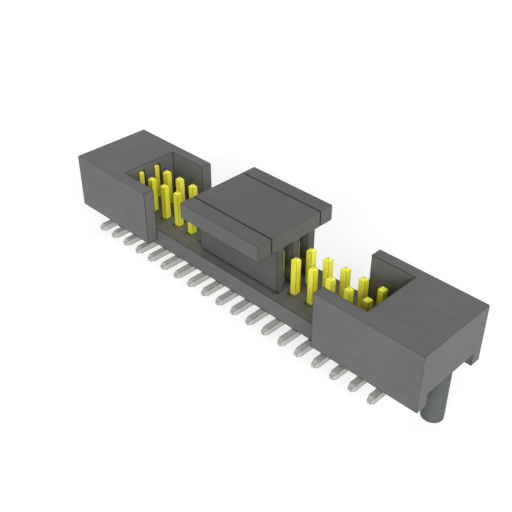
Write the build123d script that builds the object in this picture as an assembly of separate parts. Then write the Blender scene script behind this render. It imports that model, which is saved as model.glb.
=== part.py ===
"""Surface-mount board-to-board header, 1.27 mm pitch, two rows of square posts.

A moulded housing carries two rows of bent square-wire contacts. Each end of the
housing rises into a shroud with a solid end block, and the middle is an open
strip. Two shouldered alignment pins sit under the ends, and a moulded
pick-and-place cap grips the middle posts.

Millimetres. X runs along the rows, Y across them, Z up from the board. The
origin is the centre of the footprint, on the board's surface.
"""

from build123d import *
import math
import os

# Contact grid
pitch = 1.27
row_spacing = 1.27
positions = 19

# Contact wire
wire = 0.406
bend_radius = 0.20
tail_show = 0.508
tail_tip_length = 0.28
tail_tip_flat = 0.22
post_height = 2.427
post_tip_length = 0.127
post_tip_flat = 0.152

# Contact holes in the base
hole_clearance = 0.015
barb_length = 0.30
barb_lead = 0.08
barb_above_bottom = 0.60
lead_in = 0.08
bend_room = 0.03
notch_reach = 0.22
notch_depth = 0.04

# Housing base strip
tail_clearance = 0.051
base_width = 4.064
base_thickness = 1.191

# End shrouds and their blocks
shroud_raise = 0.411
shroud_wall = 0.762
pocket_length = 2.944
tip_cover = 0.473
enclosed_posts = 2
post_recess = 0.028
cavity_clearance = 0.05
cavity_tip_room = 0.08
edge_break = 0.03

# Recess under each end, with its alignment pin
recess_web = 0.635
recess_room = 0.625
recess_height = 0.82
pin_diameter = 1.27
pin_setback = 0.01
pin_below_board = 1.78
pin_chamfer = 0.05
shank_diameter = 0.80
shank_length = 1.60
shank_chamfer = 0.08
shank_clearance = 0.01
shank_end_room = 0.10

# Pick-and-place cap
cap_length = 6.40
cap_width = 6.10
cap_thickness = 1.00
cap_tip_room = 0.595
cap_strip = 1.05
cap_groove_width = 0.07
cap_groove_depth = 0.07
stem_wall = 0.57
toe_clearance = 0.01
rib_gap = 0.235
channel_room = 0.16
grip_clearance = 0.005
grip_height = 0.925
grip_slope = 0.24
rib_lead = 0.35
hook_height = 0.50
hook_lead = 0.05

# Levels above the board
strip_bottom = wire + tail_clearance
bend_relief_top = wire + bend_radius + bend_room
base_top = strip_bottom + base_thickness
post_top = base_top + post_height
shroud_bottom = strip_bottom + shroud_raise
shroud_top = post_top + tip_cover
cavity_top = post_top + cavity_tip_room
recess_ceiling = shroud_bottom + recess_height
cap_underside = post_top + cap_tip_room
cap_top = cap_underside + cap_thickness
grip_top = base_top + grip_height

# Places along the rows
last_post = pitch * (positions - 1) / 2
recess_inner = last_post + recess_web
pin_x = recess_inner + recess_room + pin_diameter / 2
housing_half = pin_x + pin_diameter / 2 + pin_setback
pocket_end = last_post - pitch * (enclosed_posts - 1) - wire / 2 - post_recess
shroud_inner = pocket_end - pocket_length

# Places across the rows
row_y = row_spacing / 2
base_half = base_width / 2
outer_half = base_half + shroud_wall
tail_end = outer_half + tail_show
post_inner = row_y - wire / 2
post_outer = row_y + wire / 2
hole_side = wire + 2 * hole_clearance
cavity_side = wire + 2 * cavity_clearance


def post_x(number):
    """Place along the row of one post, numbered from 1 at the -X end."""
    return pitch * (number - 1) - last_post


def is_enclosed(number):
    """True for a post that stands inside an end block."""
    return number <= enclosed_posts or number > positions - enclosed_posts


def upright(sketch, bottom, top):
    """Solid of a plan sketch between two levels."""
    return extrude(Plane.XY.offset(bottom) * sketch, top - bottom)


def along_rows(sketch, length):
    """Solid of a section drawn in Y and Z, centred on X."""
    return extrude(Plane.YZ * sketch, length / 2, both=True)


def tapered_end(side, flat, length):
    """Square frustum on the XY plane, from the full side to the small flat."""
    taper = math.degrees(math.atan((side - flat) / 2 / length))
    return extrude(Rectangle(side, side), length, taper=taper)


def contact(row):
    """Contact bent from square wire, at X 0, for the row at -1 or +1 times Y."""
    tail_shoulder = tail_end - tail_tip_length
    post_shoulder = post_top - post_tip_length
    section = make_face(
        Polyline(
            (tail_shoulder, 0),
            (post_inner, 0),
            (post_inner, post_shoulder),
            (post_outer, post_shoulder),
            (post_outer, wire),
            (tail_shoulder, wire),
            close=True,
        )
    )
    inner_corner = section.vertices().sort_by_distance((post_outer, wire))[0]
    section = fillet(inner_corner, bend_radius)
    outer_corner = section.vertices().sort_by_distance((post_inner, 0))[0]
    section = fillet(outer_corner, bend_radius + wire)

    body = along_rows(section, wire)
    post_tip = Pos(0, row_y, post_shoulder) * tapered_end(wire, post_tip_flat, post_tip_length)
    tail_tip = Pos(0, tail_shoulder, wire / 2) * Rot(X=-90) * tapered_end(
        wire, tail_tip_flat, tail_tip_length
    )
    body += post_tip + tail_tip + barbs()
    return body if row > 0 else mirror(body, Plane.XZ)


def barbs():
    """Two low wedges on the sides of a post that hold it in its hole."""
    bottom = strip_bottom + barb_above_bottom
    crest = wire / 2 + hole_clearance
    section = make_face(
        Polyline(
            (-wire / 2, bottom),
            (wire / 2, bottom),
            (crest, bottom + barb_lead),
            (crest, bottom + barb_length),
            (-crest, bottom + barb_length),
            (-crest, bottom + barb_lead),
            close=True,
        )
    )
    wedge = extrude(Plane.XZ * section, wire / 4, both=True)
    return Pos(0, row_y, 0) * wedge


def contact_hole(number, row):
    """Cutter for one post: its hole in the base, the bend's relief and what opens above."""
    hole = upright(Rectangle(hole_side, hole_side), strip_bottom, base_top)
    wide = hole_side + 2 * lead_in
    mouth = Pos(0, 0, strip_bottom) * tapered_end(wide, hole_side, lead_in)
    bend_reach = wire / 2 + bend_radius + bend_room
    bend_plan = Pos(0, row * bend_reach / 2) * Rectangle(hole_side, bend_reach)
    cutter = hole + mouth + upright(bend_plan, strip_bottom, bend_relief_top)
    if is_enclosed(number):
        cutter += upright(Rectangle(cavity_side, cavity_side), base_top, cavity_top)
    else:
        reach = hole_side / 2 + notch_reach
        notch = Pos(0, row * reach / 2) * Rectangle(hole_side, reach)
        cutter += upright(notch, base_top - notch_depth, base_top)
    return Pos(post_x(number), row * row_y, 0) * cutter


def end_shroud(side):
    """Block and walls at one end, open towards the middle and above."""
    length = housing_half - shroud_inner
    outline = Pos(side * (shroud_inner + length / 2), 0) * Rectangle(length, 2 * outer_half)
    pocket = Pos(side * (shroud_inner + pocket_length / 2), 0) * Rectangle(
        pocket_length, base_width
    )
    block = upright(outline, shroud_bottom, shroud_top)
    block = chamfer(outer_edges(block, side), edge_break)
    return block - upright(pocket, base_top, shroud_top)


def outer_edges(block, side):
    """Top and upright edges of a block, apart from those round its inner end."""
    inner_face = block.faces().sort_by(Axis.X)[0 if side > 0 else -1]
    underside = block.faces().sort_by(Axis.Z)[0]
    return block.edges() - inner_face.edges() - underside.edges()


def end_recess(side):
    """Cutter for the recess under one end and the hole for the pin's shank."""
    length = housing_half - recess_inner
    plan = Pos(side * (recess_inner + length / 2), 0) * Rectangle(length, base_width)
    hole_top = recess_ceiling + shank_length + shank_end_room
    hole = Pos(side * pin_x, 0) * Circle(shank_diameter / 2 + shank_clearance)
    return upright(plan, shroud_bottom, recess_ceiling) + upright(hole, recess_ceiling, hole_top)


def housing():
    """Moulded housing with every contact hole, recess and pin hole cut."""
    strip = Rectangle(2 * recess_inner, base_width)
    body = upright(strip, strip_bottom, base_top) + end_shroud(-1) + end_shroud(1)
    body -= [end_recess(side) for side in (-1, 1)]
    body -= [
        contact_hole(number, row)
        for number in range(1, positions + 1)
        for row in (-1, 1)
    ]
    return body


def alignment_pin(side):
    """Shouldered round pin: a shank in the housing, a larger body below it."""
    pin_radius = pin_diameter / 2
    shank_radius = shank_diameter / 2
    shank_top = recess_ceiling + shank_length
    half_section = make_face(
        Polyline(
            (0, -pin_below_board),
            (pin_radius - pin_chamfer, -pin_below_board),
            (pin_radius, pin_chamfer - pin_below_board),
            (pin_radius, recess_ceiling),
            (shank_radius, recess_ceiling),
            (shank_radius, shank_top - shank_chamfer),
            (shank_radius - shank_chamfer, shank_top),
            (0, shank_top),
            close=True,
        )
    )
    return Pos(side * pin_x, 0, 0) * revolve(Plane.XZ * half_section, Axis.Z)


def cap_plate():
    """Flat plate of the cap, with a fine groove round it near each long edge."""
    plate = upright(Rectangle(cap_length, cap_width), cap_underside, cap_top)
    plate = chamfer(plate.edges() - plate.faces().sort_by(Axis.Z)[0].edges(), edge_break)
    middle = (cap_underside + cap_top) / 2
    groove = Rectangle(cap_length, cap_thickness)
    groove -= Rectangle(
        cap_length - 2 * cap_groove_depth, cap_thickness - 2 * cap_groove_depth
    )
    ring = extrude(Plane.XZ * groove, cap_groove_width / 2, both=True)
    line_y = cap_width / 2 - cap_strip
    return plate - [Pos(0, side * line_y, middle) * ring for side in (-1, 1)]


def grip_side(face, crest, foot, lead):
    """Section points of a channel's side, from the foot of its bead up to the plate."""
    return [
        (face, foot),
        (crest, foot + lead),
        (crest, grip_top),
        (face, grip_top + grip_slope),
        (face, cap_underside),
    ]


def cap_stem():
    """Two hooked walls with round toes and a middle rib, which grip the posts between them."""
    rib_half = post_inner - channel_room
    rib_side = grip_side(rib_half, post_inner - grip_clearance, base_top + rib_gap, rib_lead)
    other_side = [(-y, z) for y, z in reversed(rib_side)]
    rib = make_face(Polyline(*rib_side, *other_side, close=True))

    wall_inner = post_outer + channel_room
    wall_outer = wall_inner + stem_wall
    toe_centre = base_top + toe_clearance + stem_wall / 2
    hook = grip_side(wall_inner, post_outer + grip_clearance, base_top + hook_height, hook_lead)
    wall = make_face(
        Polyline(
            (wall_inner, toe_centre),
            *hook,
            (wall_outer, cap_underside),
            (wall_outer, toe_centre),
            close=True,
        )
    )
    wall += Pos(wall_inner + stem_wall / 2, toe_centre) * Circle(stem_wall / 2)
    section = rib + wall + mirror(wall, Plane.YZ)
    return along_rows(section, cap_length)


def main():
    os.makedirs("parts", exist_ok=True)
    pieces = {
        "housing": housing(),
        "pick_and_place_cap": cap_plate() + cap_stem(),
        "alignment_pin_left": alignment_pin(-1),
        "alignment_pin_right": alignment_pin(1),
    }
    for row_name, row in (("front", -1), ("rear", 1)):
        bent_wire = contact(row)
        for number in range(1, positions + 1):
            name = f"contact_{row_name}_{number:02d}"
            pieces[name] = Pos(post_x(number), 0, 0) * bent_wire
    for name, piece in pieces.items():
        export_step(piece, f"parts/{name}.step")


main()
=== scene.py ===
# %% [markdown]
# # A surface-mount board-to-board header
#
# The real object is small, about 28 mm long: two rows of nineteen bent square wires in a moulded
# housing, two alignment pins under its ends, and a cap on the middle posts, by which a placing
# machine lifts it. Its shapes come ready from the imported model, and they stay where they are. This
# lesson gives each of them its surface, and then sets up the floor, the light and the camera.

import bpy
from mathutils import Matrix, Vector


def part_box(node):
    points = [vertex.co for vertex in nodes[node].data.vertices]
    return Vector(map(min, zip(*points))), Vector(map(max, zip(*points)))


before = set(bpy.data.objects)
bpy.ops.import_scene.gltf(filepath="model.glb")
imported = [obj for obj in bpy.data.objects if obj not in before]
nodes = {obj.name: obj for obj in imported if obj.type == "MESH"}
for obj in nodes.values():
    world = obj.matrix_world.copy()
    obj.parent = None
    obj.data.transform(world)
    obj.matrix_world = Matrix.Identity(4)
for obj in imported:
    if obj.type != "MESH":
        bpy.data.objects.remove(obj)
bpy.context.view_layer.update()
print(len(nodes), "nodes loaded")

# %% [markdown]
# Blender works in metres here, and this part is measured in millimetres. One helper turns
# millimetres into metres. Another turns the size of a pattern's feature into the scale that a
# texture node asks for, which is the number of features in a metre. So every size below can be
# written as a person would measure it. The places of the pieces are read from the model, not
# written again, so they stay right when the model changes.

# %% Millimetres, and places read from the model
import math

import bpy
from mathutils import Vector


def mm(length):
    """Metres in a length given in millimetres."""
    return length / 1000


def in_mm(length):
    """Millimetres in a length given in metres, rounded for printing."""
    return round(1000 * length, 2)


def features(size_mm):
    """Texture scale at which one feature is about this many millimetres across."""
    return 1000 / size_mm


housing_low, housing_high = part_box("housing")
cap_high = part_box("pick_and_place_cap")[1]
pin_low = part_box("alignment_pin_right")[0]
contacts = [name for name in sorted(nodes) if name.startswith("contact_")]
pins = ["alignment_pin_left", "alignment_pin_right"]
print("housing", in_mm(housing_high.x - housing_low.x), "mm long,", len(contacts), "contacts,")
print("cap's top", in_mm(cap_high.z), "mm above the board")

# %% [markdown]
# Materials are built from nodes. Colours are written as sRGB hex values, as a colour picker shows
# them, and shaders work on linear light, so one function converts them. A second one adds a node,
# sets its properties and fills its sockets, each with a number, a colour or another node's output.
# The Mix node has a set of sockets for each kind of data under the same names, so they are called
# by number, and the numbers get names here.

# %% Helpers for materials
FACTOR, VALUE_A, VALUE_B, COLOUR_A, COLOUR_B = 0, 2, 3, 6, 7
MIXED_VALUE, MIXED_COLOUR = 0, 2
BLACK, WHITE = (0, 0, 0, 1), (1, 1, 1, 1)


def linear(hex_colour):
    """Linear RGBA of an sRGB colour such as #808080."""
    shares = [int(hex_colour[i:i + 2], 16) / 255 for i in (1, 3, 5)]
    return [s / 12.92 if s <= 0.04045 else ((s + 0.055) / 1.055) ** 2.4 for s in shares] + [1]


def add(owner, kind, sockets=None, **settings):
    """Adds a shader node to a material or world, with its settings, values and links."""
    tree = owner.node_tree
    node = tree.nodes.new("ShaderNode" + kind)
    for name, value in settings.items():
        setattr(node, name, value)
    for name, value in (sockets or {}).items():
        if isinstance(value, bpy.types.NodeSocket):
            tree.links.new(value, node.inputs[name])
        else:
            node.inputs[name].default_value = value
    return node


def empty_material(name):
    """A material whose node tree is empty."""
    material = bpy.data.materials.new(name)
    material.use_nodes = True
    material.node_tree.nodes.clear()
    return material


def dress(names, material):
    """Gives the named nodes this one material."""
    for name in names:
        nodes[name].data.materials.clear()
        nodes[name].data.materials.append(material)
    print(material.name, "on", len(names), "of the nodes")


print("sRGB #808080 is", round(linear("#808080")[0], 3), "in linear light")

# %% [markdown]
# The housing is liquid-crystal polymer, injection moulded, because it has to live through the
# soldering oven. It is filled with short glass fibres, so its grey isn't even: faint clouds and
# streaks follow the way it flowed along the mould, and here and there a fibre shows at the skin as
# a pale fleck. The mould was spark eroded, which leaves a fine matte grain. The grain is really a
# few hundredths of a millimetre, and is drawn a little coarser so that it shows. A fibre is a
# hundredth of a millimetre thick, and is drawn three times that. A photograph of a real skin would
# give the same marks, but noise worked out in space needs no picture and has no seam on any face.

# %% Streaks, grain and flecks of a moulded skin
flow_stretch, cloud_ratio = 5, 5
cloud_weight, grain_weight = 0.6, 0.45
noise_low, noise_high = 0.38, 0.62
fibre_width_mm, fibre_spacing_mm, fibre_strength = 0.03, 0.25, 0.35


def moulded_skin(material, place, flow_mm, grain_mm):
    """Uneven mixture from 0 to 1, mould grain and pale fibre flecks, as three outputs."""
    flow = add(material, "Mapping", {
        "Vector": place, "Scale": (1 / flow_stretch, 1, 1)}).outputs["Vector"]
    streaks = add(material, "TexNoise", {
        "Vector": flow, "Scale": features(flow_mm), "Detail": 4, "Distortion": 0.6})
    clouds = add(material, "TexNoise", {
        "Vector": place, "Scale": features(cloud_ratio * flow_mm), "Detail": 2})
    mottle = add(material, "Mix", {
        FACTOR: cloud_weight, VALUE_A: streaks.outputs["Fac"], VALUE_B: clouds.outputs["Fac"]})
    grain = add(material, "TexNoise", {
        "Vector": place, "Scale": features(grain_mm), "Detail": 2, "Roughness": 0.7})
    skin = add(material, "Mix", {
        FACTOR: grain_weight, VALUE_A: mottle.outputs[MIXED_VALUE],
        VALUE_B: grain.outputs["Fac"]})
    mixture = add(material, "MapRange", {
        "Value": skin.outputs[MIXED_VALUE], "From Min": noise_low, "From Max": noise_high})
    fibres = add(material, "TexVoronoi", {"Vector": flow, "Scale": features(fibre_spacing_mm)})
    share = fibre_width_mm / fibre_spacing_mm
    flecks = add(material, "MapRange", {
        "Value": fibres.outputs["Distance"], "From Min": share, "From Max": share / 2,
        "To Max": fibre_strength})
    return mixture.outputs["Result"], grain.outputs["Fac"], flecks.outputs["Result"]


fleck_length_mm = round(flow_stretch * fibre_width_mm, 2)
print("a fibre fleck is drawn", fibre_width_mm, "mm wide and", fleck_length_mm, "mm long")

# %% [markdown]
# A mould never gives a knife-sharp edge, and its glass fibres don't reach into one. So an edge is
# nearly pure resin, a little darker and glossier than the walls beside it. A bevel could be
# modelled on every edge, but at this size shading does it as well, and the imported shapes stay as
# they are. The Bevel node turns the shading round the edges by a few hundredths of a millimetre.
# A second, wider one is compared with the true normal, and finds where the edges are.

# %% Soft edges
flat_match, edge_match = 0.995, 0.88


def soft_edges(material, radius_mm, reach_mm):
    """Normal turned round the edges, and a value that is 1 on them and 0 further in."""
    normal = add(material, "Bevel", {"Radius": mm(radius_mm)}, samples=8).outputs["Normal"]
    wide_normal = add(material, "Bevel", {"Radius": mm(reach_mm)}, samples=8).outputs["Normal"]
    true_normal = add(material, "NewGeometry").outputs["True Normal"]
    flatness = add(material, "VectorMath", {0: wide_normal, 1: true_normal},
                   operation="DOT_PRODUCT")
    on_edge = add(material, "MapRange", {
        "Value": flatness.outputs["Value"], "From Min": flat_match, "From Max": edge_match})
    return normal, on_edge.outputs["Result"]


edge_turn = round(math.degrees(math.acos(edge_match)))
print("an edge counts in full where the wide bevel turns the normal by", edge_turn, "degrees")

# %% [markdown]
# Shade falls in inner corners and in the fine gap where two pieces meet. Traced light alone would
# need far more samples to show that without noise. So that shade is painted: the Ambient Occlusion
# node finds such places at once, with a reach of less than a tenth of a millimetre, and the colour
# is mixed with black there.

# %% Painted shade in inner corners
corner_reach_mm = 0.08
closed_in, open_out, painted_shade_tone = 0.5, 0.95, 0.45


def painted_corner_shade(material, colour):
    """The colour, with painted shade in inner corners and in the gaps between pieces."""
    open_sky = add(material, "AmbientOcclusion", {"Distance": mm(corner_reach_mm)}, samples=8)
    share = add(material, "MapRange", {
        "Value": open_sky.outputs["AO"], "From Min": closed_in, "From Max": open_out,
        "To Min": painted_shade_tone})
    return add(material, "Mix", {
        FACTOR: share.outputs["Result"], COLOUR_A: BLACK, COLOUR_B: colour},
        data_type="RGBA").outputs[MIXED_COLOUR]


print("inner corners darken to", painted_shade_tone, "within", corner_reach_mm, "mm")

# %% [markdown]
# The housing, the cap and the pins are all moulded, so one function makes their three plastics,
# each with its own greys, gloss and grain. The skin is a little glossier where it is pale, because
# more resin lies on top there, and glossier still on the edges. Below a height in the model the
# function can also paint shade on a piece, for the shade under an overhang: there its colour is
# multiplied by a pale grey.

# %% Moulded plastic
edge_radius_mm, edge_reach_mm = 0.03, 0.12
gloss_spread, edge_gloss = 0.05, 0.2
grain_strength, grain_depth_mm = 0.3, 0.01
# Painted shade: below the given height the colour is multiplied by this grey.
painted_shade_grey = "#e0e0e0"


def moulded_plastic(name, dark, light, fibre, edge, roughness, flow_mm, grain_mm, specular,
                    painted_shade_below=None):
    """Glass-filled plastic with a moulded skin, glossy dark edges, painted shade in inner corners
    and painted shade below a given height.
    """
    material = empty_material(name)
    place = add(material, "TexCoord").outputs["Object"]
    mixture, grain, flecks = moulded_skin(material, place, flow_mm, grain_mm)
    body = add(material, "Mix", {
        FACTOR: mixture, COLOUR_A: linear(dark), COLOUR_B: linear(light)}, data_type="RGBA")
    flecked = add(material, "Mix", {
        FACTOR: flecks, COLOUR_A: body.outputs[MIXED_COLOUR], COLOUR_B: linear(fibre)},
        data_type="RGBA")

    soft_normal, on_edge = soft_edges(material, edge_radius_mm, edge_reach_mm)
    resin_edge = add(material, "Mix", {
        FACTOR: on_edge, COLOUR_A: flecked.outputs[MIXED_COLOUR], COLOUR_B: linear(edge)},
        data_type="RGBA")
    # Painted shade in inner corners and in the gaps between pieces.
    colour = painted_corner_shade(material, resin_edge.outputs[MIXED_COLOUR])
    # Painted shade below the given height, for the shade under an overhang.
    if painted_shade_below is not None:
        height = add(material, "SeparateXYZ", {"Vector": place}).outputs["Z"]
        in_painted_shade = add(material, "Math", {0: height, 1: painted_shade_below}, operation="LESS_THAN")
        colour = add(material, "Mix", {
            FACTOR: in_painted_shade.outputs[0], COLOUR_A: colour, COLOUR_B: linear(painted_shade_grey)},
            data_type="RGBA", blend_type="MULTIPLY").outputs[MIXED_COLOUR]

    skin_gloss = add(material, "MapRange", {
        "Value": mixture, "To Min": roughness + gloss_spread,
        "To Max": roughness - gloss_spread})
    gloss = add(material, "Mix", {
        FACTOR: on_edge, VALUE_A: skin_gloss.outputs["Result"],
        VALUE_B: roughness - edge_gloss})
    relief = add(material, "Bump", {
        "Strength": grain_strength, "Distance": mm(grain_depth_mm), "Height": grain,
        "Normal": soft_normal})
    surface = add(material, "BsdfPrincipled", {
        "Base Color": colour, "Roughness": gloss.outputs[MIXED_VALUE],
        "Specular IOR Level": specular, "Normal": relief.outputs["Normal"]})
    add(material, "OutputMaterial", {"Surface": surface.outputs["BSDF"]})
    return material


print("grain is", grain_depth_mm, "mm deep, edges are rounded by", edge_radius_mm, "mm")

# %% [markdown]
# The housing is the palest and roughest of the three. The cap is another resin, darker and a
# little smoother. Its plate is smooth, because a vacuum nozzle has to seal on it, and the stem
# that grips the posts under it gets painted shade, for the shade that the plate casts on it. The
# pins are a blue-grey plastic with a coarser grain that hardly reflects anything. The two heights
# of the cap could be two materials, but then its one solid would have to be cut up.

# %% The housing, the cap and the pins
# A hundredth more than the plate's thickness, so that the painted shade stays under the plate
plate_and_hair_mm = 1.01
stem_top = cap_high.z - mm(plate_and_hair_mm)

dress(["housing"], moulded_plastic(
    "moulded_liquid_crystal_polymer", "#606060", "#686868", fibre="#8c8c8b", edge="#303030",
    roughness=0.58, flow_mm=0.5, grain_mm=0.08, specular=0.3))
dress(["pick_and_place_cap"], moulded_plastic(
    "moulded_cap_polymer", "#575756", "#5f5f5d", fibre="#828280", edge="#303030",
    roughness=0.52, flow_mm=0.7, grain_mm=0.1, specular=0.3, painted_shade_below=stem_top))
dress(pins, moulded_plastic(
    "moulded_pin_polymer", "#585b5c", "#606364", fibre="#787b7c", edge="#2c2e2f",
    roughness=0.45, flow_mm=0.5, grain_mm=0.12, specular=0.03))
# Below this height the cap's colour carries painted shade.
print("the cap is rough below", in_mm(stem_top), "mm above the board")

# %% [markdown]
# Each contact is one bronze wire. Wire is drawn through a die, which leaves fine lines along it:
# up the post, and along the tail. A noise texture that is stretched along the wire gives them. The
# real lines are too fine to show, so they are drawn several times as wide.

# %% Lines of the drawing die
draw_line_mm, line_stretch = 0.07, 0.03


def drawn_lines(material, place, stretch):
    """Lines that a drawing die leaves, run along the axis whose scale in stretch is small."""
    along = add(material, "Mapping", {"Vector": place, "Scale": stretch}).outputs["Vector"]
    return add(material, "TexNoise", {
        "Vector": along, "Scale": features(draw_line_mm), "Detail": 2}).outputs["Fac"]


line_length_mm = round(draw_line_mm / line_stretch, 1)
print("drawn lines are", draw_line_mm, "mm wide and", line_length_mm, "mm long")

# %% [markdown]
# The wire has two platings: gold on the post, where it mates, and matte tin on the tail, where it
# is soldered. The change lies inside the moulded strip, out of sight. So one material holds both
# metals and picks one by the height of the point, and no seam is modelled. Tin sets in small
# crystals, drawn coarser here than they are. Fresh gold over this wire is a bright lemon yellow.
# Both platings are soft and satin, so they mirror far less than a bare polished metal would: the
# metallic value is low, and the roughness is high. On the sharp edges of the wire a plating is
# thinnest, and the darker metal under it shows through.

# %% Plated wire
crystal_mm = 0.08
wire_edge_radius_mm, wire_edge_reach_mm = 0.015, 0.06
tin_roughness, gold_roughness = 0.5, 0.4
line_strength, line_depth_mm = 0.25, 0.01
plating_change = housing_low.z + mm(0.4)


def plated_wire():
    """Gold above the change of plating and matte tin below it, over drawn wire."""
    material = empty_material("gold_and_tin_plated_wire")
    place = add(material, "TexCoord").outputs["Object"]
    height = add(material, "SeparateXYZ", {"Vector": place}).outputs["Z"]
    is_gold = add(material, "Math", {0: height, 1: plating_change},
                  operation="GREATER_THAN").outputs[0]
    post_lines = drawn_lines(material, place, (1, 1, line_stretch))
    tail_lines = drawn_lines(material, place, (1, line_stretch, 1))
    crystals = add(material, "TexVoronoi", {"Vector": place, "Scale": features(crystal_mm)})
    gold = add(material, "Mix", {
        FACTOR: post_lines, COLOUR_A: linear("#f2ee3a"), COLOUR_B: linear("#fffb4e")},
        data_type="RGBA")
    tin = add(material, "Mix", {
        FACTOR: crystals.outputs["Distance"], COLOUR_A: linear("#bebdb9"),
        COLOUR_B: linear("#acaaa5")}, data_type="RGBA")
    plating = add(material, "Mix", {
        FACTOR: is_gold, COLOUR_A: tin.outputs[MIXED_COLOUR],
        COLOUR_B: gold.outputs[MIXED_COLOUR]}, data_type="RGBA")
    roughness = add(material, "Mix", {
        FACTOR: is_gold, VALUE_A: tin_roughness, VALUE_B: gold_roughness})
    lines = add(material, "Mix", {FACTOR: is_gold, VALUE_A: tail_lines, VALUE_B: post_lines})

    soft_normal, on_edge = soft_edges(material, wire_edge_radius_mm, wire_edge_reach_mm)
    bared_metal = add(material, "Mix", {
        FACTOR: is_gold, COLOUR_A: linear("#3a3938"), COLOUR_B: linear("#5e5824")},
        data_type="RGBA")
    worn = add(material, "Mix", {
        FACTOR: on_edge, COLOUR_A: plating.outputs[MIXED_COLOUR],
        COLOUR_B: bared_metal.outputs[MIXED_COLOUR]}, data_type="RGBA")
    relief = add(material, "Bump", {
        "Strength": line_strength, "Distance": mm(line_depth_mm),
        "Height": lines.outputs[MIXED_VALUE], "Normal": soft_normal})
    # The base colour carries painted shade in inner corners and in the gaps between pieces.
    surface = add(material, "BsdfPrincipled", {
        "Base Color": painted_corner_shade(material, worn.outputs[MIXED_COLOUR]), "Metallic": 0.25,
        "Roughness": roughness.outputs[MIXED_VALUE], "Normal": relief.outputs["Normal"]})
    add(material, "OutputMaterial", {"Surface": surface.outputs["BSDF"]})
    return material


dress(contacts, plated_wire())
print("the plating changes", in_mm(plating_change), "mm above the board")

# %% [markdown]
# The floor is a plain sheet of pale card, and the header stands on it with the tips of its two
# pins, a hair above it so that two faces never lie in one plane. A studio photographer would burn
# the card out to white with a lamp of its own, which would also light the part from below. Here
# the card stays a normal pale card for the part, and it only glows for rays that the camera sees,
# by themselves or in a reflection.

# %% Floor
floor_size, hair_gap_mm = 2, 0.002
bpy.ops.object.select_all(action="DESELECT")
bpy.ops.mesh.primitive_plane_add(
    size=floor_size, location=(0, 0, pin_low.z - mm(hair_gap_mm)))
floor = bpy.context.object
floor.name = "floor"
print("floor", in_mm(-pin_low.z), "mm below the board's surface, where the pins end")

# %% [markdown]
# Near the part the card's glow is weaker, which keeps the soft shadow, and further out it reaches
# full white, so that no horizon shows in a low view. The Light Path node tells which rays are
# seen. The world needs the same, so a function gives it for both.

# %% White card
card_white = "#c8c8c8"
near_glow, far_glow = 0.6, 1.0
near_mm, far_mm = 15, 90


def seen(owner):
    """Socket that is 1 for what the camera sees, directly or reflected, and 0 for other light."""
    path = add(owner, "LightPath").outputs
    direct = add(owner, "Math", {0: path["Is Camera Ray"], 1: path["Is Glossy Ray"]},
                 operation="MAXIMUM")
    either = add(owner, "Math", {0: direct.outputs[0], 1: path["Is Transmission Ray"]},
                 operation="MAXIMUM")
    return either.outputs[0]


card = empty_material("white_card")
paper = add(card, "BsdfDiffuse", {"Color": linear(card_white)})
spot = add(card, "TexCoord").outputs["Object"]
reach = add(card, "VectorMath", {0: spot}, operation="LENGTH").outputs["Value"]
fade = add(card, "MapRange", {
    "Value": reach, "From Min": mm(near_mm), "From Max": mm(far_mm), "To Min": near_glow,
    "To Max": far_glow})
lift = add(card, "Math", {0: seen(card), 1: fade.outputs["Result"]}, operation="MULTIPLY")
glow = add(card, "Emission", {"Strength": lift.outputs[0]})
both = add(card, "AddShader", {0: paper.outputs[0], 1: glow.outputs[0]})
add(card, "OutputMaterial", {"Surface": both.outputs[0]})
floor.data.materials.append(card)
print("the card glows at", near_glow, "near the part and at", far_glow, "from", far_mm, "mm on")

# %% [markdown]
# A part this small is photographed in a light tent: white cloth all round, which fills the shadows
# with soft light from every side. The world is that cloth. It is pure white where the camera or a
# reflection looks at it, and lights the part at less than that, so that the lamps still model it.

# %% World
world_fill, world_white = 0.22, 1.0
world = bpy.data.worlds.new("light_tent")
bpy.context.scene.world = world
world.use_nodes = True
world.node_tree.nodes.clear()
strength = add(world, "MapRange", {
    "Value": seen(world), "To Min": world_fill, "To Max": world_white})
sky = add(world, "Background", {"Color": WHITE, "Strength": strength.outputs["Result"]})
add(world, "OutputWorld", {"Surface": sky.outputs[0]})
print("the tent lights the part at", world_fill, "of white")

# %% [markdown]
# Outside the tent stand square softboxes. Each is placed by its compass direction and height round
# the part, and its power is worked out from its distance, so that a level of 1 shows a colour
# about as it is written. They stand far off, so both ends of the part get the same light. The
# strongest one is near the camera and looks in between the posts. It and the front one give each
# side its own plain tone: the end of the housing is palest, the long side comes next, and the top
# is darkest. Two smaller ones stand low behind the part and past its far end. They light those
# sides, and from so low down they hardly reach the top.

# %% Softboxes
far_off_mm, large_mm, small_mm = 300, 150, 60


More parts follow.
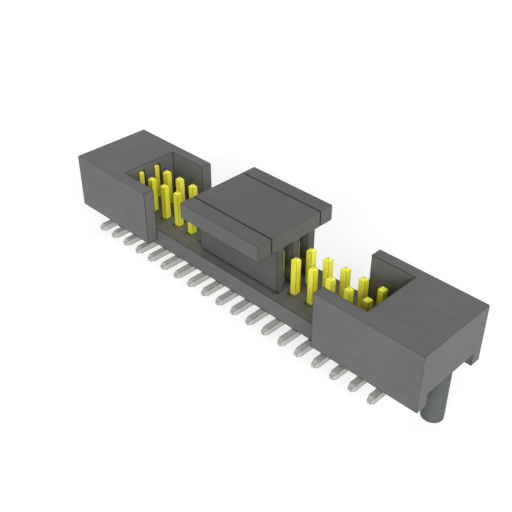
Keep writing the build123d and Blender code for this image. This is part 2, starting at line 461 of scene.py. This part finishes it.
def direction(azimuth, elevation):
    """Unit vector from the part towards a place, at degrees round from -Y and above the board."""
    a, e = math.radians(azimuth), math.radians(elevation)
    return Vector((math.sin(a) * math.cos(e), -math.cos(a) * math.cos(e), math.sin(e)))


def softbox(name, azimuth, elevation, size_mm, level):
    """Square lamp that lights a facing surface at this level, where 1 shows a colour as written."""
    away = direction(azimuth, elevation)
    bpy.ops.object.light_add(type="AREA", location=away * mm(far_off_mm))
    lamp = bpy.context.object
    lamp.name = name
    lamp.rotation_mode = "QUATERNION"
    lamp.rotation_quaternion = away.to_track_quat("Z", "Y")
    lamp.data.size = mm(size_mm)
    lamp.data.energy = level * math.pi ** 2 * mm(far_off_mm) ** 2
    print(name, "at", azimuth, "and", elevation, "degrees, level", level)


softbox("front_softbox", 20, 22, large_mm, level=0.38)
softbox("side_softbox", 62, 27, large_mm, level=0.79)
softbox("rear_softbox", 175, 6, small_mm, level=0.65)
softbox("far_end_softbox", 275, 6, small_mm, level=0.65)

# %% [markdown]
# The camera looks down on a corner of the part along the diagonal of a cube, as on an isometric
# drawing, but from close by: the near end comes out clearly larger than the far one. Its
# direction, its distance and its lens were found together, from where the posts and tails of the
# 1.27 mm grid lie in the picture. It aims at a point on the part's middle line, so that the
# picture needs no shift.

# %% Camera
focal_mm, sensor_mm = 57.09, 36
camera_azimuth, camera_elevation = 45, math.degrees(math.atan(1 / math.sqrt(2)))
camera_distance, target_height = mm(48.99), mm(1.985)
away = direction(camera_azimuth, camera_elevation)
bpy.ops.object.camera_add(location=Vector((0, 0, target_height)) + away * camera_distance)
camera = bpy.context.object
camera.rotation_mode = "QUATERNION"
camera.rotation_quaternion = away.to_track_quat("Z", "Y")
camera.data.lens, camera.data.sensor_width = focal_mm, sensor_mm
camera.data.clip_start, camera.data.clip_end = mm(1), 5
bpy.context.scene.camera = camera
bpy.context.scene.view_settings.view_transform = "Standard"
print("camera", in_mm(camera_distance), "mm away, looking down by",
      round(camera_elevation, 1), "degrees")
